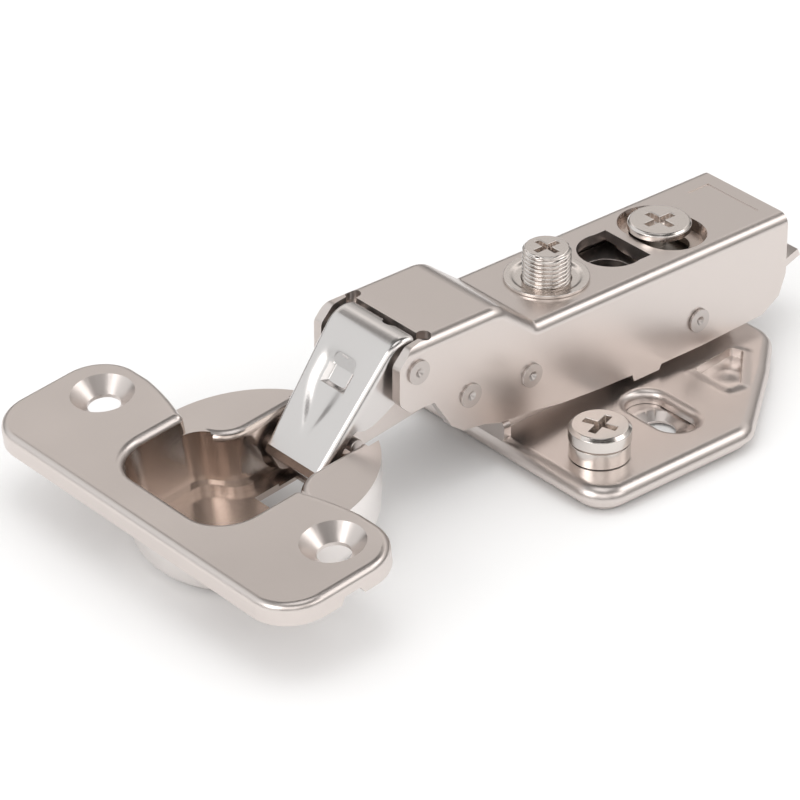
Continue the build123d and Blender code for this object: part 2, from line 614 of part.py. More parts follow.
# Clip-on adaptor inside the arm
with BuildPart() as clip_adaptor:
    with BuildSketch(Plane.XZ):
        with BuildLine():
            Polyline(
                (CLIP_FRONT, CLIP_TOP),
                (CLIP_REAR, CLIP_TOP),
                (CLIP_REAR, 11.0),
                (25.6, 7.6),
                (22.5, 5.7),
                (-13.4, 6.0),
                (-14.8, 7.0),
                (-14.8, 8.7),
                (-12.2, 9.0),
                (CLIP_FRONT, 11.0),
                (CLIP_FRONT, CLIP_TOP),
            )
        make_face()
    extrude(amount=CLIP_HALF, both=True)
    top_long = clip_adaptor.edges().filter_by(Axis.X).filter_by(lambda e: e.center().Z > CLIP_TOP - 0.1)
    fillet(top_long, 1.0)
    with Locations((6, 0, CLIP_TOP - CLIP_SHEET - 10)):
        Box(60, 2 * (CLIP_HALF - CLIP_SHEET), 20, mode=Mode.SUBTRACT)
    with Locations((4.6, 0, CLIP_TOP)):
        Cylinder(radius=3.6, height=6, mode=Mode.SUBTRACT)
    with Locations((CAM_X, 0, CLIP_TOP)):
        Cylinder(radius=1.8 + RUNNING, height=6, mode=Mode.SUBTRACT)
    with BuildSketch(Plane.XZ):
        with Locations((R4_X, R4_Z)):
            SlotOverall(2 * (TRAVEL + RIVET_R + 0.1), 2 * (RIVET_R + RUNNING))
    extrude(amount=10, both=True, mode=Mode.SUBTRACT)
    for x, z, r in ((HOOK_X, HOOK_Z, HOOK_R), (LEVER_X, LEVER_Z, LEVER_R)):
        with Locations((x, 0, z)):
            Cylinder(radius=r, height=20, rotation=(90, 0, 0), mode=Mode.SUBTRACT)

with BuildPart() as hook_axle:
    cross_pin(HOOK_X, HOOK_Z, HOOK_R, CLIP_HALF)

with BuildPart() as lever_axle:
    cross_pin(LEVER_X, LEVER_Z, LEVER_R, CLIP_HALF)

# Release lever: two cheeks and a web that ends in the finger tab
with BuildPart() as release_lever:
    with BuildSketch(Plane.XZ):
        with Locations((LEVER_X, LEVER_Z)):
            Circle(2.4)
        Polygon(
            (LEVER_X - 2.2, LEVER_Z),
            (LEVER_X, LEVER_Z + 2.2),
            (27.0, 11.4),
            (30.0, 9.6),
            (30.0, 8.2),
            (25.0, 8.0),
            (23.4, 4.4),
            (19.6, 4.4),
            (19.6, 5.9),
            (21.2, 6.2),
            (20.8, 9.6),
            align=None,
        )
    extrude(amount=LEVER_HALF, both=True)
    with Locations((20, 0, 10)):
        Box(40, 2 * (LEVER_HALF - CLIP_SHEET), 20, mode=Mode.SUBTRACT)
    with BuildSketch(Plane.XZ):
        Polygon(
            (24.6, 8.2),
            (25.0, 9.5),
            (33.0, 9.2),
            (36.9, 10.6),
            (37.4, 9.5),
            (33.2, 8.0),
            align=None,
        )
    extrude(amount=5.0, both=True)
    with BuildSketch(Plane.XZ):
        Polygon((24.6, 8.2), (25.0, 9.5), (29.8, 9.3), (29.8, 8.1), align=None)
    extrude(amount=LEVER_HALF - 0.3, both=True)
    with Locations((LEVER_X, 0, LEVER_Z)):
        Cylinder(radius=LEVER_R + RUNNING, height=20, rotation=(90, 0, 0), mode=Mode.SUBTRACT)

with BuildPart() as lever_spring:
    with Locations((LEVER_X, 0, LEVER_Z)):
        Cylinder(radius=2.3, height=4.8, rotation=(90, 0, 0))
        Cylinder(radius=1.5, height=4.8, rotation=(90, 0, 0), mode=Mode.SUBTRACT)
    with BuildSketch(Plane.XZ.offset(-2.0)):
        Polygon((22.2, 9.7), (22.0, 10.5), (27.4, 10.6), (27.4, 9.8), align=None)
    extrude(amount=0.4, both=True)
    with BuildSketch(Plane.XZ.offset(2.0)):
        Polygon((20.2, 13.0), (20.9, 13.5), (19.0, 15.0), (18.4, 14.6), align=None)
    extrude(amount=0.4, both=True)

# Fixed base of the mounting plate
WING_OUTLINE = (
    (WING_FRONT, 0),
    (WING_FRONT, WING_HALF),
    (6.6, WING_HALF),
    (20.0, 16.9),
    (27.0, 10.6),
    (27.0, 0),
)


def wing_points(inset):
    return [(x - math.copysign(inset, x), max(y - inset, 0)) for x, y in WING_OUTLINE]


with BuildPart() as lower_plate:
    with BuildSketch() as lower_outline:
        with BuildLine():
            Polyline(*wing_points(0.7))
            mirror(about=Plane.XZ)
        make_face()
        fillet(lower_outline.vertices().filter_by(lambda v: abs(v.Y) > 1), 4.0)
    extrude(amount=BASE_THICK)
    chamfer(lower_plate.faces().sort_by(Axis.Z)[0].edges(), 0.5)
    with Locations((0, PLATE_SCREW_Y, BASE_THICK), (0, -PLATE_SCREW_Y, BASE_THICK)):
        CounterSinkHole(PLATE_SCREW_R, PLATE_DISH_R, depth=BASE_THICK, counter_sink_angle=125)
    with Locations((ECC_X, ECC_Y, 0), (ECC_X, -ECC_Y, 0)):
        Cylinder(radius=1.5, height=10, mode=Mode.SUBTRACT)
    with Locations((ECC_X, ECC_Y, BASE_THICK / 2)):
        Cylinder(radius=1.5 + RUNNING, height=10, mode=Mode.SUBTRACT)
    with Locations((ECC_X, ECC_Y, 0)):
        Cylinder(radius=2.5, height=0.9, mode=Mode.SUBTRACT)
    with Locations((ECC_X, ECC_Y, BASE_THICK)):
        Cylinder(radius=ECC_DISC_R + 0.1, height=0.94, mode=Mode.SUBTRACT)

# Sliding part of the mounting plate
with BuildPart() as upper_plate:
    with BuildSketch(Plane.XY.offset(WING_TOP - WING_SHEET)) as upper_outline:
        with BuildLine():
            Polyline(*wing_points(0))
            mirror(about=Plane.XZ)
        make_face()
        fillet(upper_outline.vertices().filter_by(lambda v: abs(v.Y) > 1), 5.0)
    extrude(amount=WING_SHEET)
    fillet(upper_plate.faces().sort_by(Axis.Z)[-1].outer_wire().edges(), WING_SHEET - 0.05)
    # Oval openings over the screw holes
    with BuildSketch(Plane.XY.offset(WING_TOP - 3)):
        with Locations((0.2, PLATE_SCREW_Y), (0.2, -PLATE_SCREW_Y)):
            SlotOverall(13.8 - 2.4, 8.4 - 2.4, rotation=90)
    extrude(amount=3, mode=Mode.SUBTRACT)
    rims = upper_plate.faces().sort_by(Axis.Z)[-1].inner_wires()
    fillet([e for wire in rims for e in wire.edges()], 1.2)
    # Three-sided pressings
    for side in (1, -1):
        with BuildSketch(Plane.XY.offset(WING_TOP)) as pressing:
            Polygon(
                (10.9, side * 11.3),
                (18.9, side * 10.3),
                (19.6, side * 12.2),
                (13.2, side * 18.3),
                (11.2, side * 17.9),
                align=None,
            )
            fillet(pressing.vertices(), 0.7)
        extrude(amount=-0.9, taper=12, mode=Mode.SUBTRACT)
    # Opening of the eccentric and of the guide rivet
    with BuildSketch(Plane.XY.offset(WING_TOP - 3)):
        with Locations((ECC_X, ECC_Y)):
            SlotOverall(2 * (ECC_LOBE_R + ECC_THROW + 0.1), 2 * (ECC_LOBE_R + 0.45))
        with Locations((ECC_X, -ECC_Y)):
            SlotOverall(2 * (TRAVEL + 1.6), 2 * 1.6, rotation=90)
    extrude(amount=4, mode=Mode.SUBTRACT)
    # Riser walls with the front saddles and the rear catch
    with BuildSketch(Plane.XZ):
        Polygon(
            (-19.8, WING_TOP - 0.6),
            (-19.8, 6.4),
            (-18.6, 7.6),
            (-14.3, 7.6),
            (-14.1, HOOK_Z),
            (HOOK_X + 1.3, HOOK_Z),
            (-11.2, 9.9),
            (5.0, 9.9),
            (8.0, 7.3),
            (20.6, 7.3),
            (20.6, 6.3),
            (18.9, 6.1),
            (18.9, WING_TOP - 0.6),
            align=None,
        )
        with Locations((HOOK_X, HOOK_Z)):
            Circle(HOOK_R + RUNNING, mode=Mode.SUBTRACT)
    extrude(amount=RISER_HALF, both=True)
    with Locations((0, 0, WING_TOP + 10)):
        Box(60, 2 * (RISER_HALF - CLIP_SHEET), 20, mode=Mode.SUBTRACT)
    # Nose under the front of the arm
    with BuildSketch(Plane.YZ.offset(-21.0)) as nose:
        with Locations((0, 4.2)):
            Rectangle(2 * 7.6, 3.4)
        fillet(nose.vertices(), 1.2)
    extrude(amount=1.2)

with BuildPart() as height_eccentric:
    with Locations((ECC_X, ECC_Y, 4.6)):
        Cylinder(radius=ECC_HEAD_R - 0.12, height=2.3)
    with Locations((ECC_X, ECC_Y, 5.6)):
        Cylinder(radius=ECC_HEAD_R - 0.6, height=2.0)
    with Locations((ECC_X, ECC_Y, 7.1)):
        Cylinder(radius=ECC_HEAD_R, height=2.1)
    chamfer(height_eccentric.faces().sort_by(Axis.Z)[-1].edges(), 0.5)
    with Locations((ECC_X + ECC_THROW, ECC_Y, 2.45)):
        Cylinder(radius=ECC_LOBE_R, height=2.3)
    # Disc sunk in the base that carries the lobe, then the riveted shank
    with Locations((ECC_X, ECC_Y, BASE_THICK - 0.22)):
        Cylinder(radius=ECC_DISC_R, height=0.4)
    with Locations((ECC_X, ECC_Y, 0.6)):
        Cylinder(radius=1.5, height=0.9)
    with Locations((ECC_X, ECC_Y, 0.23)):
        Cylinder(radius=2.4, height=0.36)
    with BuildSketch(Plane.XY.offset(8.15)):
        with Locations((ECC_X, ECC_Y)):
            Rectangle(5.0, 1.1, rotation=20)
            Rectangle(1.1, 5.0, rotation=20)
    extrude(amount=-1.9, taper=8, mode=Mode.SUBTRACT)

with BuildPart() as guide_rivet:
    with Locations((ECC_X, -ECC_Y, 2.0)):
        Cylinder(radius=1.5, height=4.0)
    with Locations((ECC_X, -ECC_Y, 3.95)):
        Cylinder(radius=2.8, height=1.0)
    chamfer(guide_rivet.faces().sort_by(Axis.Z)[-1].edges(), 0.3)

hinge_cup.part.label = "hinge_cup"
cup_pin_outer.part.label = "cup_pin_outer"
cup_pin_inner.part.label = "cup_pin_inner"
outer_link.part.label = "outer_link"
inner_link.part.label = "inner_link"
arm_body.part.label = "arm_body"
rivet_outer_link.part.label = "rivet_outer_link"
rivet_inner_link.part.label = "rivet_inner_link"
rivet_spring.part.label = "rivet_spring"
rear_axle.part.label = "rear_axle"
closing_spring.part.label = "closing_spring"
overlay_bush.part.label = "overlay_bush"
overlay_screw.part.label = "overlay_screw"
depth_cam_screw.part.label = "depth_cam_screw"
clip_adaptor.part.label = "clip_adaptor"
hook_axle.part.label = "hook_axle"
lever_axle.part.label = "lever_axle"
release_lever.part.label = "release_lever"
lever_spring.part.label = "lever_spring"
lower_plate.part.label = "lower_plate"
upper_plate.part.label = "upper_plate"
height_eccentric.part.label = "height_eccentric"
guide_rivet.part.label = "guide_rivet"

for piece in (
    hinge_cup,
    cup_pin_outer,
    cup_pin_inner,
    outer_link,
    inner_link,
    arm_body,
    rivet_outer_link,
    rivet_inner_link,
    rivet_spring,
    rear_axle,
    closing_spring,
    overlay_bush,
    overlay_screw,
    depth_cam_screw,
    clip_adaptor,
    hook_axle,
    lever_axle,
    release_lever,
    lever_spring,
    lower_plate,
    upper_plate,
    height_eccentric,
    guide_rivet,
):
    export_step(piece.part, f"parts/{piece.part.label}.step")
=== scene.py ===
import json
import math

import bmesh
import bpy
from mathutils import Matrix, Vector


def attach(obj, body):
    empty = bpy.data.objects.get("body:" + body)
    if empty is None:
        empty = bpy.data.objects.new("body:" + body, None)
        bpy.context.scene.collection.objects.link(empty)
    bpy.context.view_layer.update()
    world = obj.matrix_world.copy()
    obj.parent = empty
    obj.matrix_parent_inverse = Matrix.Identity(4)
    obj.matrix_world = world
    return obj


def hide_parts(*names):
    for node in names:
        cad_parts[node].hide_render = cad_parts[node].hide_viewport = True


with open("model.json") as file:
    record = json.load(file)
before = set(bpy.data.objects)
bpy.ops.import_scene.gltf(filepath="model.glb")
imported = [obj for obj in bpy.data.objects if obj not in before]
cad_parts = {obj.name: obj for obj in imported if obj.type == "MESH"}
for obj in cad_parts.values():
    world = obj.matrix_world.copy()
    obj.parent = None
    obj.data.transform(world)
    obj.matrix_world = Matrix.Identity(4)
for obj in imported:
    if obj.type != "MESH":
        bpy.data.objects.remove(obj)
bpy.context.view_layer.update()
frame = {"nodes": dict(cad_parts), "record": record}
NODES = frame["nodes"]
BODY_OF = {
    n: body for body, ns in frame["record"]["behaviour"]["bodies"].items() for n in ns
}
# The frame is in metres. Sizes of the part are written in mm here
MM = 0.001
scene = bpy.context.scene


def put_in_scene(name, data):
    ob = bpy.data.objects.new(name, data)
    scene.collection.objects.link(ob)
    return ob


def add_node(tree, kind, inputs=None, **settings):
    """Adds a shader node. Each input gets a value, or a link from another node's output."""
    node = tree.nodes.new(kind)
    for key, value in settings.items():
        setattr(node, key, value)
    for key, value in (inputs or {}).items():
        if isinstance(value, bpy.types.NodeSocket):
            tree.links.new(value, node.inputs[key])
        else:
            node.inputs[key].default_value = value
    return node


# Sockets of a node that mixes colours
MIX_FACTOR, MIX_A, MIX_B, MIX_RESULT = 0, 6, 7, 2

# Materials: a broad noise lets roughness and tone drift a little, and a fine one gives the grain.
# No range of roughness crosses 0.274, because flat faces came out speckled where one did
DRIFT_SCALE, DRIFT_DETAIL = 55.0, 5.0
DRIFT_FROM, DRIFT_TO = 0.3, 0.7
ROUGH_DRIFT = 0.03
TONE_DRIFT = 0.03
GRAIN_SCALE, GRAIN_DETAIL = 2600.0, 3.0
GRAIN_HEIGHT = 0.0005


def nickel(name, color, rough, grain):
    mat = bpy.data.materials.new(name)
    mat.use_nodes = True
    tree = mat.node_tree
    place = add_node(tree, "ShaderNodeTexCoord").outputs["Object"]
    drift = add_node(
        tree, "ShaderNodeTexNoise", {"Vector": place, "Scale": DRIFT_SCALE, "Detail": DRIFT_DETAIL}
    ).outputs["Fac"]
    fine = add_node(
        tree, "ShaderNodeTexNoise", {"Vector": place, "Scale": GRAIN_SCALE, "Detail": GRAIN_DETAIL}
    ).outputs["Fac"]
    spread = add_node(tree, "ShaderNodeMapRange", {
        "Value": drift,
        "From Min": DRIFT_FROM,
        "From Max": DRIFT_TO,
        "To Min": rough - ROUGH_DRIFT,
        "To Max": rough + ROUGH_DRIFT,
    })
    tone = add_node(tree, "ShaderNodeMix", {
        MIX_FACTOR: drift,
        MIX_A: (*[c * (1 - TONE_DRIFT) for c in color], 1),
        MIX_B: (*[min(c * (1 + TONE_DRIFT), 1) for c in color], 1),
    }, data_type="RGBA")
    bump = add_node(tree, "ShaderNodeBump", {
        "Height": fine,
        "Strength": grain,
        "Distance": GRAIN_HEIGHT,
    })
    shader = tree.nodes["Principled BSDF"]
    shader.inputs["Metallic"].default_value = 1.0
    tree.links.new(spread.outputs["Result"], shader.inputs["Roughness"])
    tree.links.new(tone.outputs[MIX_RESULT], shader.inputs["Base Color"])
    tree.links.new(bump.outputs["Normal"], shader.inputs["Normal"])
    return mat


SATIN = nickel("satin_nickel", (0.70, 0.64, 0.608), 0.315, 0.02)
LINK = nickel("link_nickel", (0.72, 0.69, 0.675), 0.235, 0.015)
BRIGHT = nickel("bright_nickel", (0.74, 0.69, 0.655), 0.19, 0.015)
# The springs' dark steel, also laid as painted shade on the depth cam's lobe below its head
DARK = nickel("spring_steel", (0.42, 0.39, 0.36), 0.34, 0.03)
# Painted shade: a darker nickel for the inside of the cup's pocket and the arm's recess around the
# depth cam
SHADED_POCKET = nickel("pocket_painted_shade", (0.53, 0.455, 0.41), 0.235, 0.015)
# Painted light: a lighter nickel for the outside of the cup's barrel
LIT_WALL = nickel("wall_painted_light", (0.90, 0.865, 0.845), 0.335, 0.02)
RIVET = nickel("rivet_nickel", (0.57, 0.525, 0.50), 0.325, 0.02)
# SATIN where no other is named
MATERIAL_OF = {
    "outer_link": LINK,
    "rivet_outer_link": RIVET,
    "rivet_inner_link": RIVET,
    "rivet_spring": RIVET,
    "rear_axle": RIVET,
    "overlay_screw": BRIGHT,
    "overlay_bush": BRIGHT,
    "depth_cam_screw": BRIGHT,
    "height_eccentric": BRIGHT,
    "closing_spring": DARK,
    "lever_spring": DARK,
}


# Shaping of the meshes
def smoothstep(low, high, v):
    t = min(max((v - low) / (high - low), 0), 1)
    return t * t * (3 - 2 * t)


def verts_of(faces):
    return {v for f in faces for v in f.verts}


def cut_across(bm, pick, points, normal):
    """Cuts the faces that pick(bm) gives by planes through the points, square to normal."""
    for point in points:
        faces = pick(bm)
        edges = {e for f in faces for e in f.edges}
        bmesh.ops.bisect_plane(
            bm, geom=[*verts_of(faces), *edges, *faces], plane_co=point, plane_no=normal
        )


# Outer link: the middles of its pins, the direction that its face looks in, and how far out from
# the pins' line the face lies at least. The cuts are places in mm along the link and across it
PIN_LOW = Vector((-48.853, 0, 6.929)) * MM
PIN_HIGH = Vector((-37.45, 0, 20.83)) * MM
ALONG = (PIN_HIGH - PIN_LOW).normalized()
FRONT = Vector((-ALONG.z, 0, ALONG.x))
FACE_OUT = 2.9
FACES_FRONT = 0.5
FACE_CUTS_ALONG = [2.2 + i * 0.31 for i in range(48)]
FACE_CUTS_ACROSS = [-5.1 + i * 0.3 for i in range(35)]

# Drop-shaped hollow in the face, in mm from the lower pin and from the middle line. It starts
# narrow, widens upwards more to the left than to the right, and has a square dimple near its top
TROUGH_ENDS = (2.4, 16.4)
TROUGH_DEPTH = 0.46
TROUGH_DEEPEST_AT = 8.0
TROUGH_TOP_SLOPE = 3.4
TROUGH_WIDEST_AT = 11.5
TROUGH_LEAD = 1.5
TROUGH_START = 0.3
TROUGH_LEFT, TROUGH_RIGHT = 4.5, 2.8
EDGE_LEFT, EDGE_RIGHT = 0.45, 0.95
DIMPLE_AT = (12.9, 0.05)
DIMPLE_HALF = (2.3, 2.1)
DIMPLE_SLOPE = (0.9, 0.7)
DIMPLE_DEPTH = 0.26


def dimple(s, y):
    """Depth in mm of the square dimple in the hollow."""
    across = smoothstep(0, DIMPLE_SLOPE[1], DIMPLE_HALF[1] - abs(y - DIMPLE_AT[1]))
    along = smoothstep(0, DIMPLE_SLOPE[0], DIMPLE_HALF[0] - abs(s - DIMPLE_AT[0]))
    return DIMPLE_DEPTH * across * along


def trough(s, y):
    """Depth in mm of the hollow with its dimple, s along the link and y across it."""
    low, high = TROUGH_ENDS
    if not low < s < high:
        return 0
    grow = smoothstep(low - TROUGH_LEAD, TROUGH_WIDEST_AT, s)
    if y > 0:
        edge = smoothstep(0, EDGE_LEFT, 1 - y / (TROUGH_START + TROUGH_LEFT * grow))
    else:
        edge = smoothstep(0, EDGE_RIGHT, 1 + y / (TROUGH_START + TROUGH_RIGHT * grow))
    rising = smoothstep(low, TROUGH_DEEPEST_AT, s)
    depth = TROUGH_DEPTH * rising * smoothstep(0, TROUGH_TOP_SLOPE, high - s)
    return depth * edge + dimple(s, y)


def link_face(bm):
    return [
        f for f in bm.faces
        if f.normal.dot(FRONT) > FACES_FRONT
        and (f.calc_center_median() - PIN_LOW).dot(FRONT) > FACE_OUT * MM
    ]


def press_trough(bm):
    points = [PIN_LOW + ALONG * at * MM for at in FACE_CUTS_ALONG]
    cut_across(bm, link_face, points, ALONG)
    cut_across(bm, link_face, [(0, at * MM, 0) for at in FACE_CUTS_ACROSS], (0, 1, 0))
    bm.normal_update()
    for v in verts_of(link_face(bm)):
        rel = v.co - PIN_LOW
        v.co -= FRONT * trough(rel.dot(ALONG) / MM, v.co.y / MM) * MM


# Upper plate: the middle of the three-sided pressing on each wing, whose floor rises to the
# middle, and the pressing's outline, around which the sheet stands up a little
WING_TOP = 3.36
PRESSING = (15.0, 13.9)
PRESSING_REACH = 4.6
PRESSING_FLOOR = (1.9, WING_TOP - 0.5)
PRESSING_CUTS = [i * 0.45 for i in range(-10, 11)]
DOME_RADIUS, DOME_HEIGHT = 3.1, 0.62
OUTLINE = [
    Vector(p) for p in ((10.9, 11.3), (18.9, 10.3), (19.6, 12.2), (13.2, 18.3), (11.2, 17.9))
]
LIP_BOX = (8.0, 22.4, 9.9, 20.6)
LIP_STEP = 0.36
LIP_WIDTH, LIP_HEIGHT = 1.5, 0.3
WING_TOP_OFF = 0.03
FACES_UP = 0.9


def from_pressing(x, y):
    return math.hypot(x - PRESSING[0], abs(y) - PRESSING[1])


def pressing_floor(bm):
    low, high = PRESSING_FLOOR
    picked = []
    for f in bm.faces:
        at = f.calc_center_median() / MM
        near = from_pressing(at.x, at.y) < PRESSING_REACH
        if f.normal.z > FACES_UP and near and low < at.z < high:
            picked.append(f)
    return picked


def dome_pressings(bm):
    points = [((PRESSING[0] + off) * MM, 0, 0) for off in PRESSING_CUTS]
    cut_across(bm, pressing_floor, points, (1, 0, 0))
    points = [(0, side * (PRESSING[1] + off) * MM, 0) for off in PRESSING_CUTS for side in (1, -1)]
    cut_across(bm, pressing_floor, points, (0, 1, 0))
    for v in verts_of(pressing_floor(bm)):
        off = from_pressing(v.co.x / MM, v.co.y / MM)
        v.co.z += DOME_HEIGHT * smoothstep(0, DOME_RADIUS, DOME_RADIUS - off) * MM


def from_outline(point):
    gaps = []
    for a, b in zip(OUTLINE, OUTLINE[1:] + OUTLINE[:1]):
        t = min(max((point - a).dot(b - a) / (b - a).length_squared, 0), 1)
        gaps.append((point - a - (b - a) * t).length)
    return min(gaps)


def wing_tops(bm):
    return [
        f for f in bm.faces
        if f.normal.z > FACES_UP
        and abs(f.calc_center_median().z / MM - WING_TOP) < WING_TOP_OFF
    ]


def lip_sheet(bm):
    """The faces of the wings' tops inside LIP_BOX and its mirror image."""
    x0, x1, y0, y1 = LIP_BOX
    picked = []
    for f in wing_tops(bm):
        at = f.calc_center_median() / MM
        if x0 < at.x < x1 and y0 < abs(at.y) < y1:
            picked.append(f)
    return picked


def raise_lips(bm):
    x0, x1, y0, y1 = LIP_BOX
    cut_across(bm, wing_tops, [(x * MM, 0, 0) for x in (x0, x1)], (1, 0, 0))
    cut_across(bm, wing_tops, [(0, y * MM, 0) for y in (y0, y1, -y0, -y1)], (0, 1, 0))
    xs = [x0 + i * LIP_STEP for i in range(1, int((x1 - x0) / LIP_STEP))]
    ys = [y0 + i * LIP_STEP for i in range(1, int((y1 - y0) / LIP_STEP))]
    cut_across(bm, lip_sheet, [(x * MM, 0, 0) for x in xs], (1, 0, 0))
    points = [(0, side * y * MM, 0) for y in ys for side in (1, -1)]
    cut_across(bm, lip_sheet, points, (0, 1, 0))
    for v in verts_of(lip_sheet(bm)):
        gap = from_outline(Vector((v.co.x / MM, abs(v.co.y) / MM)))
        v.co.z += LIP_HEIGHT * smoothstep(0, LIP_WIDTH, LIP_WIDTH - gap) * MM


def press_wings(bm):
    dome_pressings(bm)
    raise_lips(bm)


# Overlay screw: the shank is made thinner, because the thread has its own mesh
SCREW_X = -6.8 * MM
SHANK_OVER = 3.2
SHANK_RADIUS = 2.95


def thin_shank(bm):
    for v in bm.verts:
        rim = Vector((v.co.x - SCREW_X, v.co.y, 0))
        if rim.length > SHANK_OVER * MM:
            v.co -= rim * (1 - SHANK_RADIUS * MM / rim.length)


SHAPED = {
    "outer_link": press_trough,
    "upper_plate": press_wings,
    "overlay_screw": thin_shank,
}


# Painted shade and painted light: each test gives a face its material's number, 0 for the plain
# one
CUP_TOP = Vector((-59.3, 0, 14.0)) * MM
CUP_TILT = math.radians(7.05)
CUP_UP = Vector((-math.sin(CUP_TILT), 0, math.cos(CUP_TILT)))
CUP_POCKET_RADIUS = 16.2
CUP_POCKET_FROM = 1.2
CUP_POCKET_FACING = -0.3
CUP_CREST_FACING = 0.8
CUP_CRESTS_END = 6
CUP_WALL_RADIUS = 17.5
CUP_WALL_FROM = 3.2
CUP_WALL_FACING = 0.5
CAM_HEAD_FROM = 20.15
RECESS_X = 14.8
RECESS_HALF = (5.6, 7.4)
RECESS_Z = (17.0, 19.6)


def cup_shade_and_light(f):
    """Painted shade inside the pocket 1, painted light on the outside of the barrel 2."""
    rel = f.center - CUP_TOP
    deep = -rel.dot(CUP_UP)
    facing = f.normal.dot(CUP_UP)
    off_axis = (rel + CUP_UP * deep).length
    inside = off_axis < CUP_POCKET_RADIUS * MM and facing > CUP_POCKET_FACING
    # A face that looks up is a crest of the rim, unless it lies deeper
    crest = facing >= CUP_CREST_FACING and deep <= CUP_CRESTS_END * MM
    # Painted shade on the pocket's inside
    if inside and deep > CUP_POCKET_FROM * MM and not crest:
        return 1
    # Painted light on the barrel's outside
    barrel = off_axis < CUP_WALL_RADIUS * MM and facing < CUP_WALL_FACING
    if barrel and deep > CUP_WALL_FROM * MM:
        return 2
    return 0


def cam_painted_shade(f):
    """Painted shade on the cam's lobe, below the head, 1."""
    return int(f.center.z < CAM_HEAD_FROM * MM)


def arm_painted_shade(f):
    """Painted shade in the recess of the depth cam 1."""
    at = f.center / MM
    boxed = abs(at.x - RECESS_X) < RECESS_HALF[0] and abs(at.y) < RECESS_HALF[1]
    return int(boxed and RECESS_Z[0] < at.z < RECESS_Z[1])


# Per node: its test for painted shade and painted light, then the materials for numbers 1 and 2
PAINTED_SHADE_AND_LIGHT = {
    "hinge_cup": (cup_shade_and_light, SHADED_POCKET, LIT_WALL),
    "depth_cam_screw": (cam_painted_shade, DARK),
    "arm_body": (arm_painted_shade, SHADED_POCKET),
}


# Dressed meshes of the CAD nodes: the same form, with the edges rounded over
BEVEL = 0.1
BEVEL_OF = {
    "hinge_cup": 0.22,
    "arm_body": 0.22,
    "outer_link": 0.3,
    "upper_plate": 0.22,
    "lower_plate": 0.15,
}
BEVEL_SEGMENTS = 3
SHARP = math.radians(32)
SAME_POINT = 0.002
SAME_PLANE = math.radians(0.4)
NORMAL_WEIGHT = 100


def dress(node):
    mesh = NODES[node].data.copy()
    mesh.name = node + "_mesh"
    bm = bmesh.new()
    bm.from_mesh(mesh)
    bmesh.ops.remove_doubles(bm, verts=bm.verts, dist=SAME_POINT * MM)
    bmesh.ops.dissolve_limit(bm, angle_limit=SAME_PLANE, verts=bm.verts, edges=bm.edges)
    if node in SHAPED:
        SHAPED[node](bm)
    for f in bm.faces:
        f.smooth = True
    for e in bm.edges:
        e.smooth = len(e.link_faces) == 2 and e.calc_face_angle() < SHARP
    bm.to_mesh(mesh)
    bm.free()
    mesh.materials.clear()
    mesh.materials.append(MATERIAL_OF.get(node, SATIN))
    if node in PAINTED_SHADE_AND_LIGHT:
        painted_by, *others = PAINTED_SHADE_AND_LIGHT[node]
        for other in others:
            mesh.materials.append(other)
        for f in mesh.polygons:
            f.material_index = painted_by(f)
    ob = put_in_scene(node + "_look", mesh)
    bevel = ob.modifiers.new("round", "BEVEL")
    bevel.width = BEVEL_OF.get(node, BEVEL) * MM
    bevel.segments = BEVEL_SEGMENTS
    bevel.limit_method = "ANGLE"
    bevel.angle_limit = SHARP
    bevel.miter_outer = "MITER_ARC"
    even = ob.modifiers.new("even", "WEIGHTED_NORMAL")
    even.mode = "FACE_AREA"
    even.weight = NORMAL_WEIGHT
    even.keep_sharp = True
    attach(ob, BODY_OF[node])
    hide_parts(node)


for node in NODES:
    dress(node)


# Thread of the overlay screw, a winding surface around the shank
THREAD_ENDS = (18.0, 24.75)
THREAD_CREST, THREAD_ROOT = 3.4, 2.98
THREAD_PITCH = 0.62
THREAD_AROUND = 96
THREAD_ROWS = 8
TIP_LENGTH = 0.4
TIP_TAPER = 0.9


def thread(name):
    low, high = THREAD_ENDS
    count = int((high - low) / THREAD_PITCH * THREAD_ROWS)
    verts = []
    for j in range(count + 1):
        z = low + (high - low) * j / count
        for i in range(THREAD_AROUND):
            turn = i / THREAD_AROUND
            phase = (z / THREAD_PITCH - turn) % 1.0
            wave = smoothstep(0, 1, abs(2 * phase - 1))
            r = THREAD_ROOT + (THREAD_CREST - THREAD_ROOT) * wave
            r -= TIP_TAPER * max(0, z - (high - TIP_LENGTH))
            a = 2 * math.pi * turn
            verts.append((SCREW_X + r * MM * math.cos(a), r * MM * math.sin(a), z * MM))
    faces = []
    for j in range(count):
        row, above = j * THREAD_AROUND, (j + 1) * THREAD_AROUND
        for i in range(THREAD_AROUND):
            k = (i + 1) % THREAD_AROUND
            faces.append((row + i, row + k, above + k, above + i))
    mesh = bpy.data.meshes.new(name)
    mesh.from_pydata(verts, [], faces)
    mesh.materials.append(BRIGHT)
    for f in mesh.polygons:
        f.use_smooth = True
    ob = put_in_scene(name, mesh)
    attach(ob, "overlay")


thread("overlay_thread")

# Floor, 0.4 mm below the part
FLOOR_SIZE = 6.0
FLOOR_Z = -0.0004
FLOOR_COLOR = (0.92, 0.915, 0.91, 1)
FLOOR_ROUGH = 0.9

bpy.ops.mesh.primitive_plane_add(size=FLOOR_SIZE, location=(0, 0, FLOOR_Z))
floor = bpy.context.active_object
floor.name = "floor"
floor_mat = bpy.data.materials.new("floor")
floor_mat.use_nodes = True
paint = floor_mat.node_tree.nodes["Principled BSDF"].inputs
paint["Base Color"].default_value = FLOOR_COLOR
paint["Roughness"].default_value = FLOOR_ROUGH
floor.data.materials.append(floor_mat)

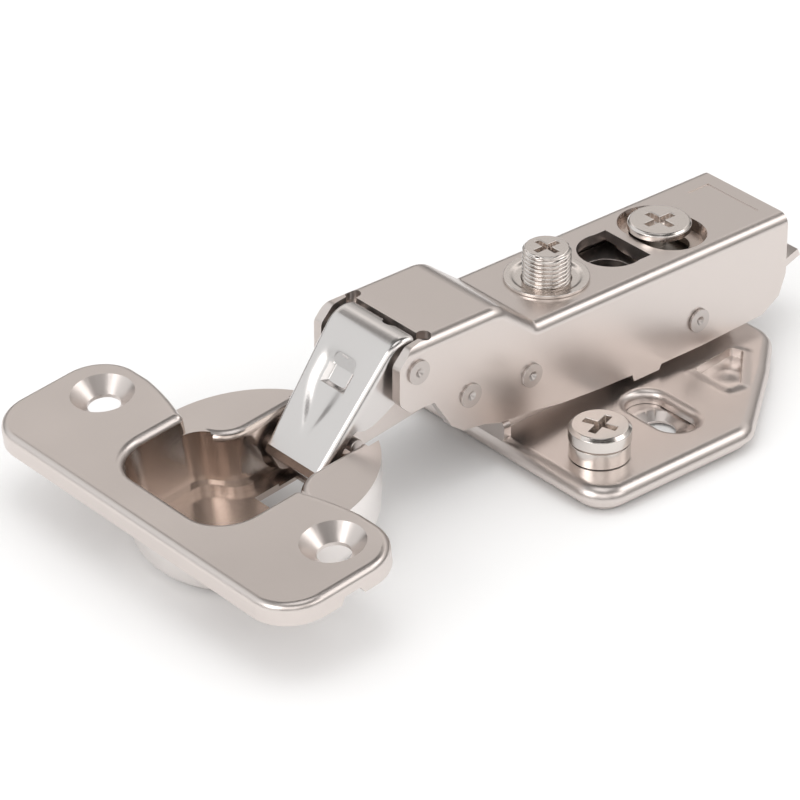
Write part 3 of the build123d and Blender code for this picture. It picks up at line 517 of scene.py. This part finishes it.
# World: plain white, but glossy rays see a studio. Its brightness changes with height, from
# straight down at 0 to straight up at 1, and soft-edged panels lie over that
LOWEST = (0.7, 0.68, 0.66, 1)
HIGHEST = (0.1, 0.095, 0.09, 1)
LEVELS = (
    (0.5, 0.08),
    (0.55, 0.04),
    (0.61, 0.3),
    (0.68, 0.6),
    (0.76, 0.66),
    (0.82, 1.4),
    (0.865, 0.25),
    (0.9, 0.03),
)
LEVELS_TONE = (1, 0.965, 0.935)
# Direction, angles in degrees at which the panel's edge starts and ends, level, tone
PANELS = (
    ((0.556, -0.44, 0.705), 10, 19, 2.3, (1, 0.99, 0.98)),
    ((-0.55, 0.65, 0.50), 22, 34, 0.9, (0.98, 0.995, 1)),
    ((-0.80, 0.05, 0.59), 9, 19, 2.0, (1, 1, 1)),
    ((-0.556, -0.65, 0.50), 8, 20, 1.5, (1, 0.99, 0.98)),
)

world = bpy.data.worlds.new("studio")
scene.world = world
world.use_nodes = True
sky = world.node_tree
sky.nodes.clear()
where = add_node(sky, "ShaderNodeTexCoord").outputs["Generated"]
split = add_node(sky, "ShaderNodeSeparateXYZ", {"Vector": where})
rise = add_node(sky, "ShaderNodeMapRange", {
    "Value": split.outputs["Z"],
    "From Min": -1.0,
    "From Max": 1.0,
})
ramp = add_node(sky, "ShaderNodeValToRGB", {"Fac": rise.outputs["Result"]})
stops = ramp.color_ramp.elements
stops[0].color = LOWEST
stops[1].color = HIGHEST
for at, level in LEVELS:
    stops.new(at).color = (*[level * c for c in LEVELS_TONE], 1)


def panel(toward, inner, outer, level, tone, under):
    """Lays a soft-edged bright panel over the colour socket under."""
    dot = add_node(sky, "ShaderNodeVectorMath", {
        0: where,
        1: Vector(toward).normalized(),
    }, operation="DOT_PRODUCT")
    soft = add_node(sky, "ShaderNodeMapRange", {
        "Value": dot.outputs["Value"],
        "From Min": math.cos(math.radians(outer)),
        "From Max": math.cos(math.radians(inner)),
    }, interpolation_type="SMOOTHSTEP")
    blend = add_node(sky, "ShaderNodeMix", {
        MIX_FACTOR: soft.outputs["Result"],
        MIX_A: under,
        MIX_B: (*[level * c for c in tone], 1),
    }, data_type="RGBA")
    return blend.outputs[MIX_RESULT]


glow = ramp.outputs["Color"]
for details in PANELS:
    glow = panel(*details, glow)
white = add_node(sky, "ShaderNodeBackground", {"Color": (1, 1, 1, 1), "Strength": 1.0})
studio = add_node(sky, "ShaderNodeBackground", {"Color": glow})
mix = add_node(sky, "ShaderNodeMixShader", {
    0: add_node(sky, "ShaderNodeLightPath").outputs["Is Glossy Ray"],
    1: white.outputs["Background"],
    2: studio.outputs["Background"],
})
add_node(sky, "ShaderNodeOutputWorld", {"Surface": mix.outputs["Shader"]})


# Lights, in metres and watts
def softbox(name, place, size, power):
    light = bpy.data.lights.new(name, "AREA")
    light.shape = "RECTANGLE"
    light.size, light.size_y = size
    light.energy = power
    ob = put_in_scene(name, light)
    ob.location = place
    # It faces the origin
    ob.rotation_euler = (-Vector(place)).to_track_quat("-Z", "Y").to_euler()


softbox("top", (-0.1, -0.05, 0.9), (0.5, 0.5), 1.0)
softbox("left", (-0.9, -0.1, 0.45), (0.5, 0.5), 1.6)
softbox("near", (0.15, -0.9, 0.5), (0.6, 0.35), 0.7)

# Camera, as solved from the photo
CAMERA_LENS = 207.65
CAMERA_SENSOR = 36
CAMERA_CLIP = (0.05, 20)
CAMERA_PLACE = Vector((-0.37720, -0.40221, 0.33076))
CAMERA_RIGHT = Vector((0.759824, -0.650129, 0.0))
CAMERA_BACK = Vector((-0.556398, -0.650219, 0.517336))

cam = bpy.data.cameras.new("camera")
cam.lens = CAMERA_LENS
cam.sensor_width = CAMERA_SENSOR
cam.clip_start, cam.clip_end = CAMERA_CLIP
eye = put_in_scene("camera", cam)
back = CAMERA_BACK.normalized()
up = back.cross(CAMERA_RIGHT).normalized()
turned = Matrix((CAMERA_RIGHT, up, back)).transposed().to_4x4()
eye.matrix_world = Matrix.Translation(CAMERA_PLACE) @ turned
scene.camera = eye

scene.view_settings.view_transform = "Standard"
